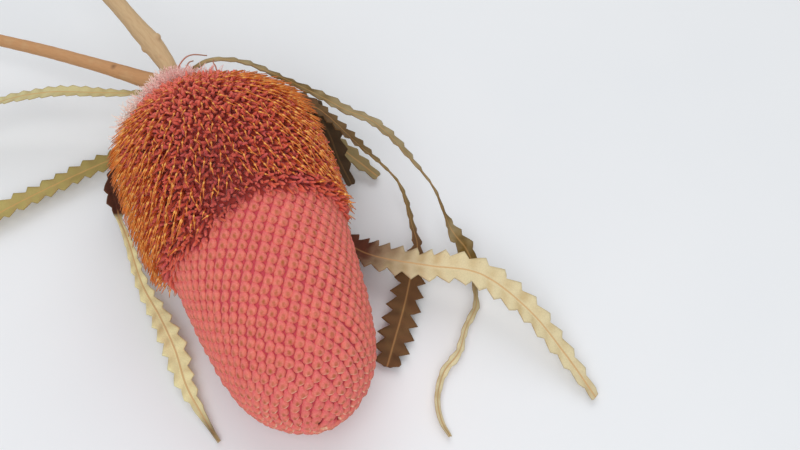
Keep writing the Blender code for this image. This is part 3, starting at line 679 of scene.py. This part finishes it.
# Mean pitch of the teeth, how much it grows to the leaf's end, the notches' half width as a share of
# the points', how far the teeth on one side are ahead, dark colour, which on the front left and near right
# leaves is painted shade, pale colour, and the midrib from the stem outwards: x, y, z, half width, roll in
# degrees, and paleness from 0 to 1
LEAVES = {
    "leaf_upper_left": (0.0048, 0.1, 0.66, 0.0, (184, 162, 100), (214, 206, 158), [
        (-0.0054, 0.0915, 0.0350, 0.0010, 0, 0.2), (-0.0110, 0.0930, 0.0318, 0.0012, -15, 0.3),
        (-0.0190, 0.0946, 0.0300, 0.0022, -25, 0.5), (-0.0330, 0.1004, 0.0300, 0.0032, -25, 0.6),
        (-0.0500, 0.1090, 0.0280, 0.0035, -20, 0.7), (-0.0660, 0.1150, 0.0230, 0.0035, -20, 0.8),
        (-0.0780, 0.1170, 0.0160, 0.0030, -25, 0.8), (-0.0890, 0.1180, 0.0080, 0.0022, -20, 0.8),
        (-0.0970, 0.1180, 0.0030, 0.0006, -10, 0.8),
    ]),
    "leaf_lower_left": (0.0050, 0.1, 0.58, 0.0, (128, 108, 58), (186, 170, 106), [
        (-0.0043, 0.0895, 0.0338, 0.0010, 0, 0), (-0.0105, 0.0875, 0.0255, 0.0012, 0, 0.1),
        (-0.0200, 0.0860, 0.0150, 0.0020, 0, 0.2), (-0.0310, 0.0886, 0.0080, 0.0036, 0, 0.3),
        (-0.0440, 0.0886, 0.0055, 0.0042, 0, 0.5), (-0.0605, 0.0862, 0.0050, 0.0044, 0, 0.7),
        (-0.0775, 0.0824, 0.0050, 0.0042, 0, 0.8), (-0.0925, 0.0792, 0.0035, 0.0028, 0, 0.9),
        (-0.1030, 0.0770, 0.0015, 0.0006, 0, 0.9),
    ]),
    # Its dark colour, where the blade turns its underside up under the spike, is painted shade
    "leaf_front_left": (0.0052, 0.1, 0.60, 0.1, (84, 50, 38), (246, 238, 184), [
        (-0.0026, 0.0880, 0.0320, 0.0010, 0, 0), (-0.0110, 0.0810, 0.0175, 0.0012, 0, 0),
        (-0.0220, 0.0765, 0.0110, 0.0016, 0, 0), (-0.0300, 0.0778, 0.0130, 0.0020, 20, 0),
        (-0.0353, 0.0771, 0.0145, 0.0022, 30, -0.3), (-0.0384, 0.0722, 0.0142, 0.0026, 30, -0.5),
        (-0.0385, 0.0683, 0.0134, 0.0038, 32, -0.5), (-0.0388, 0.0640, 0.0122, 0.0032, 32, -0.5),
        (-0.0393, 0.0602, 0.0110, 0.0011, 40, 0.75), (-0.0390, 0.0555, 0.0100, 0.0011, 30, 0.9),
        (-0.0388, 0.0498, 0.0088, 0.0016, 15, 0.9), (-0.0388, 0.0346, 0.0070, 0.0025, 0, 0.9),
        (-0.0366, 0.0211, 0.0060, 0.0037, 0, 0.9), (-0.0353, 0.0084, 0.0050, 0.0045, 0, 0.9),
        (-0.0355, -0.0043, 0.0040, 0.0034, 0, 0.85), (-0.0338, -0.0146, 0.0028, 0.0015, 0, 0.7),
        (-0.0325, -0.0205, 0.0020, 0.0008, 0, 0.3), (-0.0313, -0.0255, 0.0014, 0.0006, 0, 0.4),
    ]),
    "leaf_far_right": (0.0054, 0.0, 0.56, 0.0, (118, 91, 44), (228, 213, 172), [
        (0.0000, 0.0900, 0.0392, 0.0010, 0, 0.3), (0.0070, 0.0887, 0.0426, 0.0014, 20, 0.35),
        (0.0165, 0.0832, 0.0428, 0.0026, 30, 0.35), (0.0275, 0.0738, 0.0400, 0.0032, 35, 0.15),
        (0.0380, 0.0655, 0.0345, 0.0034, 32, 0.2), (0.0440, 0.0595, 0.0320, 0.0034, 32, 0.35),
        (0.0523, 0.0524, 0.0290, 0.0034, 34, 0.35), (0.0579, 0.0375, 0.0265, 0.0034, 45, 0.35),
        (0.0621, 0.0257, 0.0225, 0.0026, 60, 0.3), (0.0629, 0.0175, 0.0170, 0.0020, 62, 0.1),
        (0.0640, 0.0122, 0.0122, 0.0036, 30, 0.25), (0.0667, 0.0060, 0.0082, 0.0040, 20, 0.1),
        (0.0668, 0.0005, 0.0055, 0.0026, 50, 0.0), (0.0640, -0.0070, 0.0046, 0.0018, 58, 0.3),
        (0.0618, -0.0132, 0.0042, 0.0018, 50, 0.6), (0.0557, -0.0190, 0.0040, 0.0017, 55, 0.85),
        (0.0500, -0.0262, 0.0038, 0.0019, 45, 0.95), (0.0427, -0.0308, 0.0034, 0.0017, 45, 0.9),
        (0.0375, -0.0380, 0.0030, 0.0014, 55, 0.85), (0.0358, -0.0451, 0.0020, 0.0010, 40, 0.8),
        (0.0364, -0.0510, 0.0014, 0.0006, 30, 0.6),
    ]),
    # Its dark colour, at the root beside the spike, is painted shade
    "leaf_near_right": (0.0047, 0.5, 0.62, 0.22, (104, 60, 44), (224, 209, 168), [
        (-0.0004, 0.0877, 0.0316, 0.0010, 0, 0), (0.0030, 0.0880, 0.0226, 0.0010, 0, 0),
        (0.0105, 0.0808, 0.0120, 0.0012, 0, 0), (0.0205, 0.0670, 0.0050, 0.0018, 0, 0),
        (0.0275, 0.0510, 0.0026, 0.0020, 0, 0), (0.0276, 0.0370, 0.0022, 0.0026, 0, 0),
        (0.0320, 0.0240, 0.0042, 0.0052, 0, 0), (0.0380, 0.0137, 0.0090, 0.0062, 0, 0.30),
        (0.0510, 0.0012, 0.0150, 0.0064, 0, 0.85), (0.0652, -0.0086, 0.0160, 0.0058, 0, 1),
        (0.0752, -0.0246, 0.0120, 0.0048, 0, 1), (0.0812, -0.0416, 0.0060, 0.0036, 0, 0.9),
        (0.0847, -0.0565, 0.0018, 0.0016, 0, 0.85),
    ]),
    "leaf_dark_right": (0.0044, 0.2, 0.50, 0.0, (112, 80, 52), (160, 140, 86), [
        (0.0052, 0.0895, 0.0358, 0.0010, 0, 0.3), (0.0130, 0.0845, 0.0325, 0.0012, 20, 0.3),
        (0.0240, 0.0785, 0.0300, 0.0040, 25, 0.25), (0.0325, 0.0725, 0.0272, 0.0050, 28, 0.15),
        (0.0386, 0.0660, 0.0245, 0.0044, 34, 0.2),
        (0.0456, 0.0523, 0.0200, 0.0040, 38, 0.35), (0.0512, 0.0434, 0.0165, 0.0032, 52, 0.6),
        (0.0542, 0.0373, 0.0135, 0.0024, 62, 0.6), (0.0543, 0.0305, 0.0112, 0.0023, 64, 0.5),
        (0.0532, 0.0222, 0.0085, 0.0022, 60, 0.3), (0.0521, 0.0142, 0.0065, 0.0030, 45, 0.0),
        (0.0475, 0.0075, 0.0052, 0.0050, 15, 0.0), (0.0405, -0.0030, 0.0026, 0.0060, 0, 0.1),
        (0.0327, -0.0136, 0.0020, 0.0063, 0, 0.1), (0.0280, -0.0200, 0.0018, 0.0052, 0, 0.05),
        (0.0268, -0.0216, 0.0018, 0.0016, 0, 0.05),
    ]),
    "leaf_short_dark": (0.0056, 0.0, 0.60, 0.0, (84, 66, 46), (104, 84, 54), [
        (0.0037, 0.0885, 0.0334, 0.0010, 0, 0.2), (0.0130, 0.0830, 0.0255, 0.0012, 0, 0.3),
        (0.0250, 0.0775, 0.0235, 0.0030, 0, 0.0), (0.0350, 0.0735, 0.0215, 0.0044, 5, -0.3),
        (0.0384, 0.0645, 0.0170, 0.0050, 8, -0.3), (0.0388, 0.0548, 0.0120, 0.0040, 10, -0.3),
        (0.0402, 0.0462, 0.0070, 0.0018, 15, -0.3),
    ]),
    "leaf_short_pale": (0.0054, 0.0, 0.64, 0.0, (118, 98, 64), (166, 150, 108), [
        (0.0018, 0.0878, 0.0321, 0.0010, 0, 0.4), (0.0130, 0.0810, 0.0205, 0.0012, 0, 0.4),
        (0.0260, 0.0735, 0.0110, 0.0020, 0, 0.5), (0.0395, 0.0665, 0.0072, 0.0032, 0, 0.6),
        (0.0450, 0.0590, 0.0050, 0.0036, 0, 0.6), (0.0512, 0.0490, 0.0022, 0.0018, 0, 0.6),
    ]),
}


def leaf_blade(name, pitch, growth, notch, lead, rows):
    """A grid laid along the midrib, with teeth, ripples between its side veins, and a rib."""
    fine = smooth_rows(rows, 12)
    lengths = lengths_along(fine[:, :3])
    teeth = round(lengths[-1] / pitch)
    tooth_rows = len(TOOTH_ROWS)
    bpy.ops.mesh.primitive_grid_add(x_subdivisions=LEAF_COLUMNS, y_subdivisions=teeth * tooth_rows, size=2)
    piece = bpy.context.object
    piece.name = name
    x, y, _ = np.array([vert.co for vert in piece.data.vertices]).T
    row = np.rint((y + 1) / 2 * teeth * tooth_rows).astype(int)
    across = np.sign(x) * np.abs(x) ** 1.4
    edge = np.abs(across)
    phase = np.array(TOOTH_ROWS)[row % tooth_rows]
    bite = np.where(phase <= TOOTH_POINT, phase / TOOTH_POINT, (1 - phase) / (1 - TOOTH_POINT))
    count = row // tooth_rows + phase
    share = np.clip((count + edge * LEAF_RAKE - across * lead) / teeth, 0, 1)
    place = lengths[-1] * (share * (1 - growth) + share**2 * growth)
    wide, roll, tone = (np.interp(place, lengths, fine[:, column]) for column in (3, 4, 5))
    uneven = 1 + 0.12 * np.sin((row // tooth_rows) * 2.4 + np.sign(across) * 1.1)
    depth = (1 - notch) * np.clip((wide - 0.0011) / 0.0010, 0, 1) * uneven
    reach = wide * (1 - depth * (1 - bite))
    line = np.stack([np.interp(place, lengths, fine[:, column]) for column in range(3)], axis=1)
    ahead = np.stack([np.interp(place + 0.0008, lengths, fine[:, column]) for column in range(3)], axis=1)
    behind = np.stack([np.interp(place - 0.0008, lengths, fine[:, column]) for column in range(3)], axis=1)
    way = unit(ahead - behind)
    level = unit(np.cross(way, (0, 0, 1)))
    up = np.cross(level, way)
    turn = np.radians(roll)[:, None]
    side = np.cos(turn) * level + np.sin(turn) * up
    face = np.cos(turn) * up - np.sin(turn) * level
    ripple = np.cos(2 * math.pi * (count - TOOTH_POINT)) * edge * (1.2 - edge) * wide * 0.08
    seed = sum(map(ord, name))
    wave = np.sin(place * 210 + seed) * 0.08 + np.sin(place * 95 + seed * 2 + np.sign(across) * 1.3) * 0.08
    rib = np.where(edge < 0.02, 0.00022, 0)
    height = edge * wide * LEAF_KEEL + ripple + wave * edge * wide + rib
    moved(piece, line - side * (across * reach)[:, None] + face * height[:, None])
    mark(piece, leaf_across=across * reach * 1000, leaf_edge=edge, leaf_phase=count, leaf_pale=tone)
    thickness = piece.modifiers.new("thickness", "SOLIDIFY")
    thickness.thickness = LEAF_THICKNESS
    thickness.offset = 0
    bpy.ops.object.modifier_apply(modifier=thickness.name)
    piece.data.shade_smooth()
    return piece


def leaf_finish(name, dark, pale):
    """Dry leaf: a net of fine veins, tan bands between the side veins that are partly painted shade in the
    hollows of the ripples, a tan midrib and brown edges.
    """
    skin = Finish(name, roughness=0.7, Specular_IOR_Level=0.15)
    blotch = skin.noise(170, 4)
    # From the dark colour to the pale one by paleness; on the front left and near right leaves the dark is
    # painted shade
    pale_share = (skin.mark("leaf_pale") + (blotch - 0.5) * 0.5).between(0.1, 0.9)
    colour = skin.mix(pale_share, rgb(*dark), rgb(*pale))
    edge = skin.mark("leaf_edge")
    turns = (skin.mark("leaf_phase") - TOOTH_POINT) * (2 * math.pi)
    swing = skin.node("Math", {"operation": "COSINE"}, {0: turns})
    # Darker bands in the ripples' hollows between the side veins: partly the leaf's own tan, partly painted
    # shade
    bands_and_hollow_shade = (swing * -0.5 + 0.5) * edge.between(0.02, 0.35) * skin.noise(90, 2).between(0.3, 0.65)
    colour = skin.mix(bands_and_hollow_shade * 0.55 * pale_share, colour, rgb(190, 158, 104))
    colour = skin.mix(bands_and_hollow_shade * 0.5 * (1 - pale_share), colour, rgb(*(value * 0.6 for value in dark)))
    net = skin.node("TexVoronoi", {"feature": "DISTANCE_TO_EDGE"}, {"Vector": skin.place(), "Scale": 1100.0})
    net = net.between(0.0, 0.12)
    colour = skin.mix((1 - net) * 0.16 * pale_share, colour, rgb(*(value * 0.75 for value in pale)))
    colour = skin.mix(skin.noise(700, 3).between(0.58, 0.8) * 0.2 * pale_share, colour, rgb(160, 124, 76))
    colour = skin.mix(edge.between(0.95, 1.0) * 0.25, colour, rgb(150, 112, 66))
    rib = 1 - skin.mark("leaf_across").size().between(0.14, 0.36)
    # No midrib where paleness falls below 0, as on the front left leaf's underside in painted shade
    lit = skin.mark("leaf_pale").between(-0.4, -0.1)
    colour = skin.mix(rib * lit * (0.42 + 0.28 * pale_share), colour, rgb(206, 156, 100))
    return skin, colour, net


for leaf_name, (pitch, growth, notch, lead, dark, pale, rows) in LEAVES.items():
    leaf = leaf_blade(leaf_name + "_blade", pitch, growth, notch, lead, rows)
    skin, colour, net = leaf_finish(leaf_name + "_blade", dark, pale)
    skin.paint(leaf, colour, net, depth=0.0001, strength=0.35)
    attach(leaf, "root")
    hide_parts(leaf_name)

# Pale pink wool, left from the young spike, clings round its foot and up the stem's end, with a few
# curled dry strands.
WOOL_COUNT = 4200
WOOL_RINGS = 6
WOOL_SIDES = 3
WOOL_RADIUS = 0.00014
STRAND_SIDES = 6
STRAND_RADIUS = 0.00032
STRANDS = [
    ((-0.0079, 0.0867, 0.0400), (-0.0050, 0.0898, 0.0415), (-0.0016, 0.0923, 0.0430),
     (0.0017, 0.0930, 0.0430), (0.0063, 0.0926, 0.0410)),
    ((-0.0045, 0.0872, 0.0400), (-0.0034, 0.0882, 0.0412), (-0.0020, 0.0892, 0.0420),
     (-0.0004, 0.0906, 0.0425), (0.0012, 0.0912, 0.0420)),
    ((0.0068, 0.0790, 0.0420), (0.0070, 0.0815, 0.0438), (0.0072, 0.0838, 0.0445),
     (0.0070, 0.0858, 0.0444), (0.0075, 0.0873, 0.0440)),
]
wool_angles = chance.normal(math.radians(135), math.radians(60), WOOL_COUNT)
bleached = np.clip((np.degrees(wool_angles) - 135) / 30, 0, 1)
wool_stations = chance.uniform(0.0, 1.0, WOOL_COUNT) ** 1.2 * (0.010 + bleached * 0.009) - 0.0012
wool_depths = 0.0006 - bleached[:, None] * 0.0022
starts, across, to_tip, out = floret_outline.at(wool_stations, wool_angles, wool_depths)
heading = out * 0.9 - ALONG * chance.uniform(-0.6, 0.6, (WOOL_COUNT, 1))
heading = heading + chance.normal(0, 0.5, (WOOL_COUNT, 3))
drift = chance.normal(0, 0.7, (WOOL_COUNT, WOOL_RINGS, 3)).cumsum(axis=1)
ways = unit(unit(heading)[:, None] + drift)
length = chance.uniform(0.0024, 0.0056, (WOOL_COUNT, 1, 1)) / (WOOL_RINGS - 1)
paths = starts[:, None] + (ways * length).cumsum(axis=1)
girth = np.full((WOOL_COUNT, WOOL_RINGS), WOOL_RADIUS) * np.linspace(1.2, 0.7, WOOL_RINGS)
wool = rods("foot_wool", WOOL_SIDES, paths, girth, girth, across)
wool_shade = chance.uniform(0, 1, WOOL_COUNT) * 0.5 + bleached * 0.5
mark(wool, wool_shade=np.repeat(wool_shade, WOOL_SIDES * WOOL_RINGS))
fleece = Finish("foot_wool", roughness=0.9)
pink = fleece.mix(fleece.mark("wool_shade").between(0.0, 0.8), rgb(252, 184, 178), rgb(254, 236, 222))
fleece.paint(wool, fleece.mix(fleece.noise(500).between(0.55, 0.8) * 0.5, pink, rgb(240, 150, 140)))

paths = np.array([smooth_rows(strand, 5) for strand in STRANDS])
girth = np.full(paths.shape[:2], STRAND_RADIUS) * np.linspace(1.1, 0.6, paths.shape[1])
strands = rods("dry_strands", STRAND_SIDES, paths, girth, girth, np.array([[1.0, 0.0, 0.0]] * len(paths)))
dry = Finish("dry_strands", roughness=0.8)
dry.paint(strands, dry.mix(dry.mark("along"), rgb(206, 132, 122), rgb(168, 120, 92)))
for piece in (wool, strands):
    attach(piece, "root")
